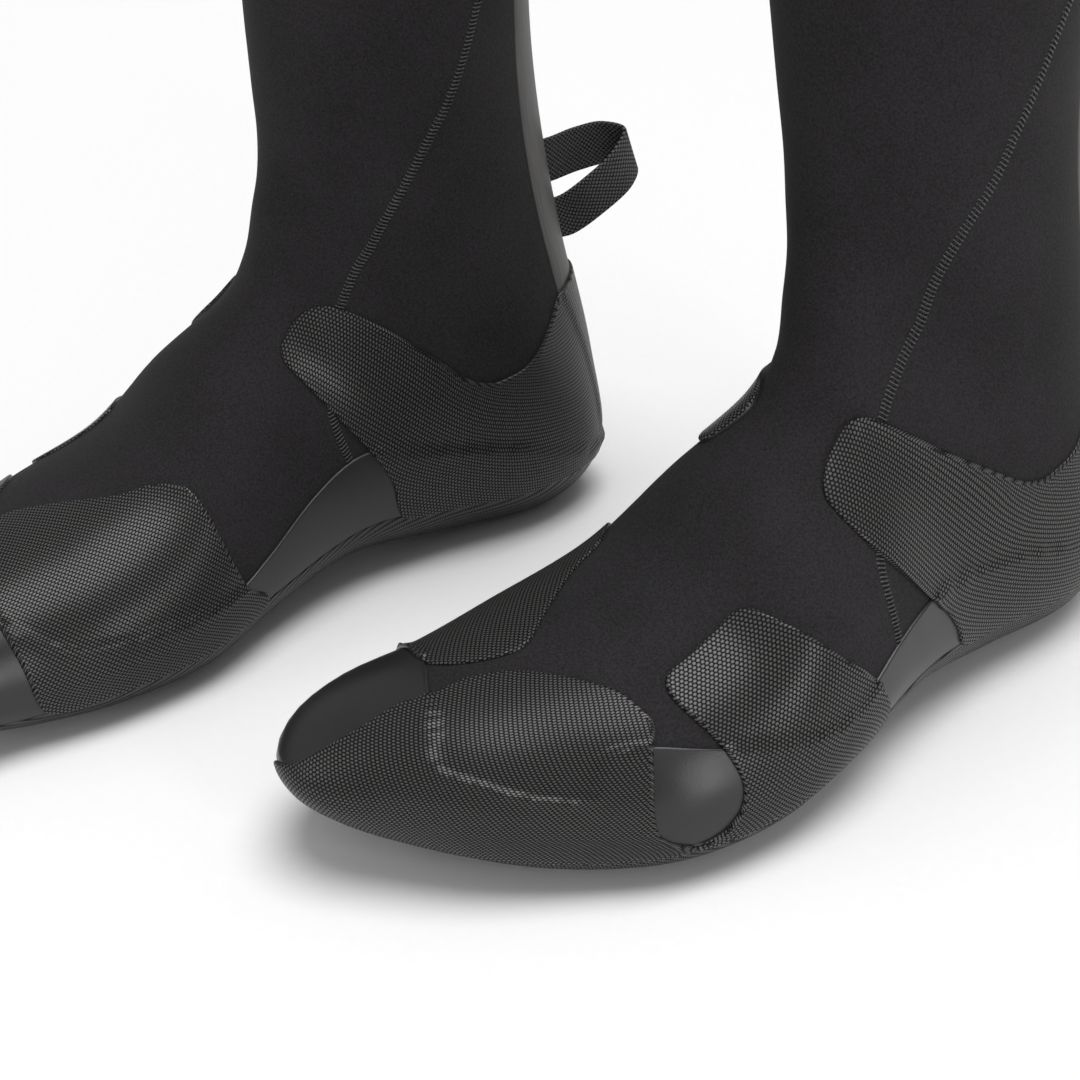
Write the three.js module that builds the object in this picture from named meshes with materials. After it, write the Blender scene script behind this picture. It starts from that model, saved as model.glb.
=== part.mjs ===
// A pair of neoprene surf boots, in millimetres: Z is up, the toes point to -Y, and the wearer's
// left boot is the one at +X. Both boots come from one last: a cup-shaped skin that every panel,
// rubber piece and lining is bent onto at its own depth.
import * as THREE from 'three';
import { mergeVertices } from 'three/addons/utils/BufferGeometryUtils.js';

// ---- Where the two boots stand --------------------------------------------------------------
const LEFT_BOOT = { name: 'left', side: 1, x: 92.1, y: 47.1, heading: -4.1 };
const RIGHT_BOOT = { name: 'right', side: -1, x: -80.8, y: -27.4, heading: -8 };
const TURNING_POINT = 120;          // distance from the heel to the point a boot is turned about

// ---- The last: cross sections from the toe tip (0) to the top of the shaft (16) --------------
// top and sole are [distance from the heel, height]; inner and outer are half widths about
// middle; widest is how far down the section its widest point lies; corner is how square its
// lower half is.
const LAST = {
  top: [[283, 28], [283, 36], [271, 45], [253, 52], [229, 56], [202, 61], [170, 70], [147, 90],
    [125, 107], [117, 119], [112, 134], [109, 146], [107, 159], [106, 173], [105, 190],
    [104, 210], [105, 232]],
  sole: [[283, 28], [275, 20], [265, 14], [250, 8], [229, 2], [203, 0], [172, 0], [142, 5],
    [107, 9], [68, 3], [26, 0], [3, 15], [2, 53], [8, 101], [12, 143], [13, 185], [8, 232]],
  inner: [0, 17, 30, 39, 46, 52, 50, 41, 34, 34, 38, 37, 37, 37, 39, 42, 46],
  outer: [0, 15, 28, 41, 50, 61, 64, 60, 48, 38, 38, 38, 37, 37, 39, 42, 46],
  middle: [-18, -18, -16, -11, -4, 0, 1, 2, 4, 5.5, 4, 2, 1, 1, 0, -1, 0],
  widest: [0.55, 0.55, 0.58, 0.6, 0.62, 0.64, 0.66, 0.68, 0.66, 0.64, 0.6, 0.54, 0.47, 0.44,
    0.43, 0.44, 0.46],
  corner: [2.2, 2.3, 2.5, 2.8, 3, 3.2, 3.2, 3, 2.9, 2.8, 2.6, 2.4, 2, 1.9, 1.85, 1.9, 2],
};
const TOP_STATION = LAST.top.length - 1;
const UPPER_CORNER = 2.04;

// ---- Depths of the layers, counted outwards from the last's skin -----------------------------
const SOCK_LINING = [-9.3, -8.5];
const SHAFT_LINING = [-7.2, -6.4];
const INSOLE = [-15.2, -12.8];
const BOTTOM_PANEL = [-5.9, -3];
const OUTSOLE = [-1, 0.5];
const RAND = [-1, -0.4];
const OVERLAY = [1.1, 1.9];
const STRIP = [-0.4, 0.4];
const NEOPRENE_THICKNESS = 3.4;
const SHAFT_FACE = -1.2;            // the neoprene's outer face on the shaft
const FOOT_FACE = -2.8;             // and under the rubber of the foot
const FACE_BLEND = 0.15;            // part of the foot's length over which one becomes the other

// ---- The ankle fold: a wedge of neoprene that bends when the shaft tilts ----------------------
const FOLD_BACK = 10;               // both planes of the wedge are given at this distance
const FOLD_LOW = { height: 90, slope: 0.2 };
const FOLD_HIGH = { height: 96, slope: 0.5 };

// ---- The pull loop ---------------------------------------------------------------------------
const WEBBING_WIDTH = 16;
const WEBBING_THICKNESS = 1.5;
const ANCHOR_REACH = 1.2;
const ANCHOR_GAP = 0.4;

const DEGREE = Math.PI / 180;
const TOE_POLE = 0.05;              // nearer the tip than this, every normal is the tip's own

// One column of the last, with the mirrored neighbour before the tip and one past the top.
function column(values, beforeTip) {
  const last = values[values.length - 1];
  return [beforeTip, ...values, 2 * last - values[values.length - 2]];
}

const COLUMNS = {
  topReach: column(LAST.top.map((p) => p[0]), LAST.sole[1][0]),
  topHeight: column(LAST.top.map((p) => p[1]), LAST.sole[1][1]),
  soleReach: column(LAST.sole.map((p) => p[0]), LAST.top[1][0]),
  soleHeight: column(LAST.sole.map((p) => p[1]), LAST.top[1][1]),
  inner: column(LAST.inner, -LAST.inner[1]),
  outer: column(LAST.outer, -LAST.outer[1]),
  middle: column(LAST.middle, LAST.middle[1]),
  widest: column(LAST.widest, LAST.widest[1]),
  corner: column(LAST.corner, LAST.corner[1]),
};

// The uniform Catmull-Rom spline through one column at station v.
function along(values, v) {
  const i = Math.min(Math.max(Math.floor(v), 0), TOP_STATION - 1);
  const t = v - i;
  const [a, b, c, d] = values.slice(i, i + 4);
  return 0.5 * (2 * b + (c - a) * t + (2 * a - 5 * b + 4 * c - d) * t * t
    + (3 * b - a - 3 * c + d) * t * t * t);
}

// A point of the skin: turn 0 is the top or front, 180 the sole or back, positive the outer side.
function skin(v, turn) {
  const at = (name) => along(COLUMNS[name], v);
  const c = Math.cos(turn * DEGREE);
  const s = Math.sin(turn * DEGREE);
  const power = c > 0 ? UPPER_CORNER : at('corner');
  const reach = (Math.abs(c) ** power + Math.abs(s) ** power) ** (-1 / power);
  const widest = at('widest');
  const down = widest + (c > 0 ? -widest : 1 - widest) * Math.abs(c) * reach;
  const width = s > 0 ? at('outer') : at('inner');
  return new THREE.Vector3(
    at('middle') + width * s * reach,
    -(at('topReach') + (at('soleReach') - at('topReach')) * down),
    at('topHeight') + (at('soleHeight') - at('topHeight')) * down,
  );
}

function slopeNormal(v, turn) {
  const step = 0.02;
  const alongBoot = skin(v + step, turn).sub(skin(v - step, turn));
  const around = skin(v, turn + 1).sub(skin(v, turn - 1));
  return around.cross(alongBoot).normalize();
}

function skinNormal(v, turn) {
  if (v > TOE_POLE) return slopeNormal(v, turn);
  return slopeNormal(2 * TOE_POLE, 0).add(slopeNormal(2 * TOE_POLE, 180)).normalize();
}

// A point at a depth from the skin.
function layer(v, turn, depth) {
  return skin(v, turn).addScaledVector(skinNormal(v, turn), depth);
}

// The station where the skin crosses one plane of the ankle fold.
function foldStation(plane, turn) {
  let low = 7;
  let high = TOP_STATION;
  for (let i = 0; i < 40; i += 1) {
    const mid = (low + high) / 2;
    const p = skin(mid, turn);
    if (p.z > plane.height + plane.slope * (-p.y - FOLD_BACK)) high = mid;
    else low = mid;
  }
  return (low + high) / 2;
}

const foot = (turn) => foldStation(FOLD_LOW, turn);
const shaft = (turn) => foldStation(FOLD_HIGH, turn);

// ---- Charts: flat pictures of the skin in which outlines are drawn -----------------------------
const DEGREES_PER_STATION = 10;
const CHARTS = {
  // Rolled out from the toe tip like a sock: straight lines stay smooth across the tip.
  disc: {
    draw: ([v, turn]) => [v * Math.sin(turn * DEGREE), v * Math.cos(turn * DEGREE)],
    read: ([x, y]) => [Math.hypot(x, y), Math.atan2(x, y) / DEGREE],
  },
  polar: {
    draw: ([v, turn]) => [v, turn / DEGREES_PER_STATION],
    read: ([x, y]) => [x, y * DEGREES_PER_STATION],
  },
  // The foot below the ankle fold: 1 is its upper edge whatever the turn.
  foot: {
    draw: ([v, turn]) => [12 * v / foot(turn), turn / DEGREES_PER_STATION],
    read: ([x, y]) => [x / 12 * foot(y * DEGREES_PER_STATION), y * DEGREES_PER_STATION],
  },
  // The shaft above the ankle fold: 0 is its lower edge.
  shaft: {
    draw: ([v, turn]) => [5 * (v - shaft(turn)) / (TOP_STATION - shaft(turn)),
      turn / DEGREES_PER_STATION],
    read: ([x, y]) => {
      const turn = y * DEGREES_PER_STATION;
      return [shaft(turn) + x / 5 * (TOP_STATION - shaft(turn)), turn];
    },
  },
};

function edge(chart, points, closed = false) {
  const drawn = points.map((p) => new THREE.Vector3(...CHARTS[chart].draw(p), 0));
  return new THREE.CatmullRomCurve3(drawn, closed, 'centripetal');
}

// The neoprene's outer face: sunk under the rubber of the foot, proud of it on the shaft.
function neopreneFace(v, turn) {
  const sunk = Math.min(Math.max((1 - v / foot(turn)) / FACE_BLEND, 0), 1);
  return SHAFT_FACE + (FOOT_FACE - SHAFT_FACE) * sunk;
}

const NEOPRENE = [(v, turn) => neopreneFace(v, turn) - NEOPRENE_THICKNESS, neopreneFace];

const depthAt = (depth, v, turn) => (typeof depth === 'function' ? depth(v, turn) : depth);

// ---- Solids -----------------------------------------------------------------------------------
// Moves every vertex of a stock geometry, then closes it into one body facing out.
function bend(geometry, move, side) {
  const flat = geometry.index ? geometry : mergeVertices(geometry);
  const position = flat.attributes.position;
  const moved = new Float32Array(position.count * 3);
  for (let i = 0; i < position.count; i += 1) {
    const p = move(position.getX(i), position.getY(i), position.getZ(i));
    moved.set([side * p.x, p.y, p.z], i * 3);
  }
  const bent = new THREE.BufferGeometry();
  bent.setAttribute('position', new THREE.BufferAttribute(moved, 3));
  bent.setIndex(Array.from(flat.index.array));
  const merged = mergeVertices(bent, 1e-3);
  const kept = [];
  for (let i = 0; i < merged.index.count; i += 3) {
    const [a, b, c] = [0, 1, 2].map((k) => merged.index.getX(i + k));
    if (a !== b && b !== c && c !== a) kept.push(a, b, c);
  }
  merged.setIndex(kept);
  if (volume(merged) < 0) {
    for (let i = 0; i < kept.length; i += 3) [kept[i], kept[i + 1]] = [kept[i + 1], kept[i]];
    merged.setIndex(kept);
  }
  merged.computeVertexNormals();
  return merged;
}

function volume(geometry) {
  const p = geometry.attributes.position;
  const corner = (i) => new THREE.Vector3().fromBufferAttribute(p, geometry.index.getX(i));
  let sum = 0;
  for (let i = 0; i < geometry.index.count; i += 3) {
    sum += corner(i).dot(corner(i + 1).cross(corner(i + 2))) / 6;
  }
  return sum;
}

// A sheet ruled between two edges: a box whose length runs along them and whose width crosses.
function sheet(chart, edges, [inner, outer], [acrossSteps, alongSteps], side) {
  const box = new THREE.BoxGeometry(1, 1, 1, acrossSteps, alongSteps, 1);
  const [first, second] = edges.map((points) => edge(chart, points));
  return bend(box, (x, y, z) => {
    const p = first.getPoint(y + 0.5).lerp(second.getPoint(y + 0.5), x + 0.5);
    const [v, turn] = CHARTS[chart].read([p.x, p.y]);
    return layer(v, turn, depthAt(z > 0 ? outer : inner, v, turn));
  }, side);
}

// A band right round the boot, ruled between two closed edges.
function closedBand(chart, rungs, [inner, outer], [roundSteps, acrossSteps], side) {
  const edges = [0, 1].map((k) => edge(chart, rungs.map((rung) => rung[k]), true));
  return ring([inner, outer], [roundSteps, acrossSteps], (around, across, depth) => {
    const p = edges[0].getPoint(around).lerp(edges[1].getPoint(around), across);
    const [v, turn] = CHARTS[chart].read([p.x, p.y]);
    return layer(v, turn, depth);
  }, side);
}

// A lathe ring with a rectangular section, bent by place(around 0..1, across 0..1, depth).
function ring([inner, outer], [roundSteps, acrossSteps], place, side) {
  const profile = [];
  for (let i = 0; i <= acrossSteps; i += 1) profile.push(new THREE.Vector2(2, i / acrossSteps));
  for (let i = acrossSteps; i >= 0; i -= 1) profile.push(new THREE.Vector2(1, i / acrossSteps));
  profile.push(profile[0].clone());
  const lathe = new THREE.LatheGeometry(profile, roundSteps);
  return bend(lathe, (x, y, z) => {
    const around = (Math.atan2(x, z) / (2 * Math.PI) + 1) % 1;
    const depth = Math.hypot(x, z) > 1.5 ? outer : inner;
    return place(around > 1 - 1e-6 ? 0 : around, y, depth);
  }, side);
}

// A sock: a lathe cup from the toe tip to the lower plane of the ankle fold.
function sock([inner, outer], [roundSteps, alongSteps], side) {
  const profile = [];
  for (let i = 0; i <= alongSteps; i += 1) profile.push(new THREE.Vector2(i && 2, i));
  for (let i = alongSteps; i >= 0; i -= 1) profile.push(new THREE.Vector2(i && 1, i - 0.25));
  const lathe = new THREE.LatheGeometry(profile, roundSteps);
  return bend(lathe, (x, y, z) => {
    const row = Math.round(y + 0.1);
    const turn = row === 0 ? 0 : Math.atan2(x, z) / DEGREE;
    const depth = y === row ? outer : inner;
    return layer(row / alongSteps * (foot(turn) - 0.03), turn, depth);
  }, side);
}

// ---- The outlines, for the left boot; the right boot is its mirror image -----------------------
// The edge of the textured sole, from the toe tip to the back of the heel.
const SOLE_EDGE = [[0.65, 160], [1, 137], [2, 124], [3, 118], [4, 113], [5, 109], [6, 110],
  [7, 115], [7.8, 118], [8.4, 117], [9, 119], [10, 127], [10.6, 140], [10.95, 160], [11.03, 176]];
// The lower edge of the neoprene, tucked under the sole.
const TUCK = 122;
const QUARTER_TUCK = [[7.95, TUCK], [8.4, TUCK], [8.9, 123], [9.4, 127], [9.95, 133], [10.4, 145],
  [10.7, 160], [10.8, 179]];
// The diagonal seam between the vamp and the quarters, outer and inner side.
const OUTER_SEAM_TURN = 44;
const OUTER_SEAM_LOW = [[7.8, 88], [8.2, 56], [9.08, 44], [foot(OUTER_SEAM_TURN), OUTER_SEAM_TURN]];
const OUTER_SEAM_HIGH = [[shaft(50), 50], [13, 68], [14, 86], [15, 102], [16, 118]];
const INNER_SEAM_TURN = -47;
const INNER_SEAM_LOW = [[8.2, -88], [8.4, -66], [9, -50], [foot(INNER_SEAM_TURN), INNER_SEAM_TURN]];
const INNER_SEAM_HIGH = [[shaft(-56), -56], [13, -76], [14, -94], [15, -109], [16, -122]];

const mirrored = (points) => points.map(([v, turn]) => [v, 360 - turn]);
const nudged = (points, byStation, byTurn) => points.map(([v, turn]) => [v + byStation, turn + byTurn]);

// Rungs across the smooth rand: its top edge and its bottom edge, once round from the heel.
const RAND_RUNGS = [
  [[11.27, 180], [11.12, 180]], [[11.12, 156], [11.0, 157]], [[10.8, 134], [10.6, 136]],
  [[10.3, 112], [10.05, 124]], [[9.6, 95], [9.2, 117]], [[8.7, 86], [8.5, 115]],
  [[7.75, 86], [7.8, 116]], [[6.95, 87], [7, 112.5]], [[6, 74], [6, 107.5]],
  [[5.2, 60], [5.1, 106.5]], [[4.5, 53], [4.3, 109]], [[3.7, 56], [3.5, 112.5]],
  [[3.05, 48], [2.7, 116]], [[3.1, 24], [1.9, 121]], [[3.4, 6], [1.2, 127]],
  [[3.6, -8], [0.75, 142]], [[3.7, -22], [0.56, 180]], [[3.75, -38], [0.75, -142]],
  [[3.95, -55], [1.5, -124]], [[4.5, -71], [3, -115.5]], [[5.25, -78], [4.6, -108]],
  [[6, -84], [6, -107.5]], [[6.7, -89], [7, -112.5]], [[7.75, -84], [7.8, -116]],
  [[8.6, -82], [8.5, -115]], [[9.5, -93], [9.2, -117]], [[10.3, -112], [10.05, -124]],
  [[10.8, -134], [10.6, -136]], [[11.12, -156], [11.0, -157]],
];

const TOE_CAP = [
  [[1, -90], [1.2, -20], [2.3, 12], [3.2, 9], [3.8, 7], [4.3, 14], [4.8, 30], [5, 46], [4.8, 66],
    [4.7, 82], [4.85, 96], [5.05, 105]],
  [[1.1, -121], [0.7, -138], [0.5, 178], [0.7, 138], [1.3, 122], [2, 119], [2.6, 117],
    [3.2, 114], [3.8, 111], [4.3, 109], [4.7, 107.5], [5.05, 106.5]],
];
const OUTER_WING = [
  [[5.36, 106], [5.48, 92], [5.53, 81], [5.45, 66], [5.3, 48], [5.32, 38], [5.5, 35]],
  [[7.5, 113], [7.42, 96], [7.3, 86], [6.9, 66], [6.5, 46], [6.35, 38], [6.12, 34]],
];
const INNER_WING = [
  [[4.05, -106], [3.95, -85], [3.85, -60], [3.8, -35], [3.75, -14], [4.1, -2], [4.4, 3]],
  [[6.95, -108], [6.7, -92], [6.5, -72], [6.38, -52], [6.15, -36], [5.7, -23], [4.7, 1]],
];
const COUNTER_LOWER = [[8.1, 38], [8.05, 43], [8.4, 66], [8.6, 82], [8.68, 96], [8.62, 110],
  [9.2, 117], [10.05, 125.5], [10.6, 138], [10.98, 158], [11.07, 179.4]];
const COUNTER_UPPER = [[8.65, 37], [9.1, 38], [9.6, 46], [10, 59], [10.28, 75], [10.4, 84],
  [10.98, 98], [11.5, 110], [12.2, 128], [12.55, 150], [12.68, 179.4]];
const OUTER_TAB_LOWER = [[7.95, 29], [7.6, 34], [7.72, 54], [8.1, 76], [8.45, 92], [8.6, 108],
  [9.2, 117], [10.05, 125.5], [10.6, 138], [10.98, 158], [11.07, 179.4]];
const OUTER_TAB_UPPER = [[8.55, 31], [9, 37], [9.4, 50], [9.9, 66], [10.2, 78], [10.4, 86],
  [10.98, 98], [11.5, 110], [12.2, 128], [12.55, 150], [12.68, 179.4]];
const inside = (points) => points.map(([v, turn]) => [v, -turn]);

const STRIP_TURN = 134;
const STRIP_EDGE = [[shaft(STRIP_TURN) + 0.04, STRIP_TURN], [14, STRIP_TURN], [15, STRIP_TURN],
  [TOP_STATION, STRIP_TURN]];

// The webbing's middle line out, round its end and back, with the way its width points.
const LOOP_PATH = [
  { at: [1.6, 5, 122.5], width: [0, -0.1, 1] },
  { at: [4.6, -7, 122], width: [0, 0, 1] },
  { at: [5, -19, 121], width: [0, 0.1, 1] },
  { at: [0.5, -25.5, 118.5], width: [0, 0.2, 1] },
  { at: [-4.5, -19, 114], width: [0, 0.42, 1] },
  { at: [-4.6, -7, 107.5], width: [0, 0.55, 1] },
  { at: [-1.6, 3, 101.5], width: [0, 0.3, 1] },
];

// ---- Looks ------------------------------------------------------------------------------------
const look = (color, roughness) => new THREE.MeshStandardMaterial({ color, roughness, metalness: 0 });
const JERSEY = look(0x1d1b1e, 0.92);
const TEXTURED_RUBBER = look(0x2b292a, 0.7);
const SMOOTH_RUBBER = look(0x3a3637, 0.45);
const STRIP_RUBBER = look(0x4a4542, 0.6);
const WEBBING = look(0x161516, 0.8);
const LINING_CLOTH = look(0x232127, 0.95);
const FOAM = look(0x2f2d2e, 0.9);

const reachPoint = ([x, reach, height]) => new THREE.Vector3(x, -reach, height);

function bootParts(side) {
  const parts = [];
  const add = (name, material, geometry) => parts.push({ name, material, geometry });

  add('sock_lining', LINING_CLOTH, sock(SOCK_LINING, [20, 12], side));
  add('insole', FOAM, sheet('polar', bottom([[1, 138], [3, 134], [5, 132], [7, 134], [8.5, 134],
    [9.4, 140], [10, 152]]), INSOLE, [4, 10], side));
  add('bottom_panel', JERSEY, sheet('polar', bottom([[0.5, 128], [2, 128], [4, 128], [6, 128],
    [8, 128], [9, 130], [9.8, 138], [10.3, 154], [10.5, 170]]), BOTTOM_PANEL, [8, 12], side));
  add('vamp_lower', JERSEY, vampLower(side));
  add('quarter_outer_lower', JERSEY, quarterLower(OUTER_SEAM_LOW, 1, side));
  add('quarter_inner_lower', JERSEY, quarterLower(inside(INNER_SEAM_LOW), -1, side));
  add('ankle_fold', JERSEY, ankleFold(side));
  add('shaft_lining', LINING_CLOTH, shaftRing(SHAFT_LINING, [20, 4], side));
  add('vamp_upper', JERSEY, sheet('shaft', [nudged(INNER_SEAM_HIGH, 0, 0.5),
    nudged(OUTER_SEAM_HIGH, 0, -0.5)], NEOPRENE, [10, 6], side));
  add('quarter_outer_upper', JERSEY, quarterUpper(OUTER_SEAM_HIGH, 1, side));
  add('quarter_inner_upper', JERSEY, quarterUpper(inside(INNER_SEAM_HIGH), -1, side));
  add('outsole', TEXTURED_RUBBER, outsole(side));
  add('rand', SMOOTH_RUBBER, closedBand('disc', RAND_RUNGS, RAND, [64, 3], side));
  add('toe_cap', TEXTURED_RUBBER, sheet('disc', TOE_CAP, OVERLAY, [8, 14], side));
  add('outer_wing', TEXTURED_RUBBER, sheet('polar', OUTER_WING, OVERLAY, [8, 8], side));
  add('inner_wing', TEXTURED_RUBBER, sheet('polar', INNER_WING, OVERLAY, [8, 9], side));
  add('heel_counter_outer', TEXTURED_RUBBER, sheet('polar', [OUTER_TAB_LOWER, OUTER_TAB_UPPER],
    OVERLAY, [7, 15], side));
  add('heel_counter_inner', TEXTURED_RUBBER, sheet('polar', [inside(COUNTER_LOWER),
    inside(COUNTER_UPPER)], OVERLAY, [7, 15], side));
  add('back_strip', STRIP_RUBBER, sheet('shaft', [STRIP_EDGE, mirrored(STRIP_EDGE)], STRIP,
    [6, 8], side));
  add('pull_loop', WEBBING, pullLoop(side));
  add('loop_anchor_upper', WEBBING, anchor(LOOP_PATH[0], side));
  add('loop_anchor_lower', WEBBING, anchor(LOOP_PATH[LOOP_PATH.length - 1], side));
  return parts;
}

// Two edges of a sheet that lies under the foot, from the outer side round to the inner.
function bottom(points) {
  return [points, mirrored(points)];
}

function vampLower(side) {
  const toe = [[0.12, TUCK], [1, TUCK], [2, TUCK], [3, TUCK], [4, TUCK], [5, TUCK], [6, TUCK]];
  const outer = [...toe, [7, TUCK], [7.6, 112], ...nudged(OUTER_SEAM_LOW, -0.06, -0.6)];
  const inner = [...inside(toe), [7, -TUCK], [7.7, -112], ...nudged(INNER_SEAM_LOW, -0.06, 0.6)];
  return sheet('foot', [inner, outer], NEOPRENE, [17, 19], side);
}

function quarterLower(seam, hand, side) {
  const top = [49, 80, 110, 145, 179].map((turn) => [foot(turn) - 0.06, turn]);
  const upper = [...nudged(seam.slice(0, -1), 0.06, 0.6), ...top];
  const edges = [QUARTER_TUCK, upper].map((points) => (hand > 0 ? points : inside(points)));
  return sheet('foot', edges, NEOPRENE, [9, 12], side);
}

function quarterUpper(seam, hand, side) {
  const back = seam.map(([v], i) => [i === 0 ? shaft(179) : v, 179]);
  const edges = [nudged(seam, 0, 0.5), back].map((points) => (hand > 0 ? points : inside(points)));
  return sheet('shaft', edges, NEOPRENE, [7, 6], side);
}

function ankleFold(side) {
  return ring([SHAFT_LINING[0], SHAFT_FACE], [24, 2], (around, across, depth) => {
    const turn = around * 360;
    const wedge = shaft(turn) - foot(turn);
    const gap = Math.min(0.08, wedge / 4);
    return layer(foot(turn) + gap + (wedge - 2 * gap) * across, turn, depth);
  }, side);
}

function shaftRing(depths, steps, side) {
  return ring(depths, steps, (around, across, depth) => {
    const turn = around * 360;
    return layer(shaft(turn) + (TOP_STATION - shaft(turn)) * across, turn, depth);
  }, side);
}

// The sole's face is cut flat on the floor.
function outsole(side) {
  const box = new THREE.BoxGeometry(1, 1, 1, 9, 18, 1);
  const [first, second] = bottom(SOLE_EDGE).map((points) => edge('polar', points));
  return bend(box, (x, y, z) => {
    const p = first.getPoint(y + 0.5).lerp(second.getPoint(y + 0.5), x + 0.5);
    const [v, turn] = CHARTS.polar.read([p.x, p.y]);
    const point = layer(v, turn, OUTSOLE[z > 0 ? 1 : 0]);
    if (z > 0) point.z = Math.max(point.z, 0);
    return point;
  }, side);
}

// A flat webbing section carried along the loop's path.
function pullLoop(side) {
  const path = new THREE.CatmullRomCurve3(LOOP_PATH.map((p) => reachPoint(p.at)));
  const widths = new THREE.CatmullRomCurve3(LOOP_PATH.map((p) => reachPoint(p.width)));
  const box = new THREE.BoxGeometry(1, 1, 1, 1, 2, 28);
  return bend(box, (x, y, z) => {
    const t = z + 0.5;
    const width = widths.getPoint(t).normalize();
    const face = path.getTangent(t).cross(width).normalize();
    return path.getPoint(t)
      .addScaledVector(width, y * WEBBING_WIDTH)
      .addScaledVector(face, x * WEBBING_THICKNESS);
  }, side);
}

// The sewn end of the webbing, standing on the strip where the loop begins.
function anchor(end, side) {
  const [x, , height] = end.at;
  const box = new THREE.BoxGeometry(WEBBING_THICKNESS, ANCHOR_REACH, WEBBING_WIDTH - 2, 1, 1, 2);
  return bend(box, (dx, dy, dz) => {
    const back = layer(backStation(height + dz), 180, STRIP[1] + ANCHOR_GAP);
    return new THREE.Vector3(x + dx, back.y + ANCHOR_REACH / 2 + dy, height + dz);
  }, side);
}

// The station whose back line is at a height above the heel.
function backStation(height) {
  let low = 11;
  let high = TOP_STATION;
  for (let i = 0; i < 40; i += 1) {
    const mid = (low + high) / 2;
    if (skin(mid, 180).z > height) high = mid;
    else low = mid;
  }
  return (low + high) / 2;
}

function boot({ name, side, x, y, heading }) {
  const group = new THREE.Group();
  group.position.set(x, y, 0);
  group.rotation.z = heading * DEGREE;
  for (const part of bootParts(side)) {
    const mesh = new THREE.Mesh(part.geometry, part.material);
    mesh.name = `${name}_${part.name}`;
    mesh.position.y = TURNING_POINT;
    group.add(mesh);
  }
  return group;
}

const pair = new THREE.Group();
pair.add(boot(LEFT_BOOT), boot(RIGHT_BOOT));

export default pair;
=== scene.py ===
"""A pair of neoprene surf boots: neoprene uppers, moulded rubber overlays, webbing loops.

Every piece is bent onto one last, given as cross sections from the toe tip to the top of the
shaft, at its own depth. A place on the last is (v, turn): v is the station, turn goes round the
section in degrees, 0 on top and in front, 180 on the sole and behind, positive on the outer side.
The last is in millimetres; finished pieces are in metres in the frame's axes.
"""

import bpy
import numpy as np
from mathutils import Matrix, Vector
from mathutils.geometry import delaunay_2d_cdt


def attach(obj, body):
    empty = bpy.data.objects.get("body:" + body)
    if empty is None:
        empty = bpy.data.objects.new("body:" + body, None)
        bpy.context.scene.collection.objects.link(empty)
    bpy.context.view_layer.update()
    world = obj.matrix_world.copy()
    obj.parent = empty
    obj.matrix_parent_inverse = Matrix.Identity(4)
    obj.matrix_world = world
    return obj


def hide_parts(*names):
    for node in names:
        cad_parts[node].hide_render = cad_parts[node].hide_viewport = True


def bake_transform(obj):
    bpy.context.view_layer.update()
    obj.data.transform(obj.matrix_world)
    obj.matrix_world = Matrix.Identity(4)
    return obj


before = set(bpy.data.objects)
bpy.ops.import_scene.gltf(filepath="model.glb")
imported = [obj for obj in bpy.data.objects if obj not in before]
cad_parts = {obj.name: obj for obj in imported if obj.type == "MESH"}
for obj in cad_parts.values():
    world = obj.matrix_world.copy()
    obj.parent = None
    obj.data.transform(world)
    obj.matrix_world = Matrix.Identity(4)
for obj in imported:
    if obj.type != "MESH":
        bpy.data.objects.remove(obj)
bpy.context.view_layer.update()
MM = 0.001
DEGREE = np.pi / 180

# ---- Camera, light and floor ----
VIEW = {"azimuth": 56.25, "elevation": 30.58, "distance": 0.78618, "roll": -6.53,
        "target": (-0.0043, 0.02289, 0.02349), "lens": 78.77, "sensor": 36}


def put(name, data, axes, place):
    """A camera or a lamp at a place, with the given axes: it looks along minus the third."""
    pose = np.eye(4)
    pose[:3, :3] = np.stack(axes, axis=1)
    pose[:3, 3] = place
    made = bpy.data.objects.new(name, data)
    made.matrix_world = Matrix(pose.tolist())
    bpy.context.scene.collection.objects.link(made)
    return made


def make_camera():
    """Camera on a sphere about the target, looking in, rolled about its own line of sight."""
    azimuth, elevation, roll = (VIEW[k] * DEGREE for k in ("azimuth", "elevation", "roll"))
    back = np.array([np.sin(azimuth) * np.cos(elevation), -np.cos(azimuth) * np.cos(elevation),
                     np.sin(elevation)])
    right = np.array([np.cos(azimuth), np.sin(azimuth), 0.0])
    up = np.cross(back, right)
    turned = [np.cos(roll) * right + np.sin(roll) * up, np.cos(roll) * up - np.sin(roll) * right]
    data = bpy.data.cameras.new("camera")
    data.lens, data.sensor_width = VIEW["lens"], VIEW["sensor"]
    place = np.array(VIEW["target"]) + VIEW["distance"] * back
    bpy.context.scene.camera = put("camera", data, [*turned, back], place)


def overhead_light(place, spread_angle, strength):
    """A wide soft disc of light far above, which lights the whole floor alike."""
    data = bpy.data.lights.new("overhead_softbox", "SUN")
    data.energy, data.angle = strength, spread_angle * DEGREE
    lamp = bpy.data.objects.new("overhead_softbox", data)
    lamp.rotation_euler = Vector(place).to_track_quat("Z", "Y").to_euler()
    bpy.context.scene.collection.objects.link(lamp)


def area_light(name, place, aim, size, watts):
    """A soft square lamp at a place, facing aim."""
    back = np.array(place, float) - np.array(aim, float)
    back /= np.linalg.norm(back)
    side = np.cross([0.0, 1.0, 0.01], back)
    side /= np.linalg.norm(side)
    data = bpy.data.lights.new(name, "AREA")
    data.shape = "RECTANGLE"
    data.size, data.size_y = size
    data.energy = watts
    put(name, data, [side, np.cross(back, side), back], place)


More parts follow.
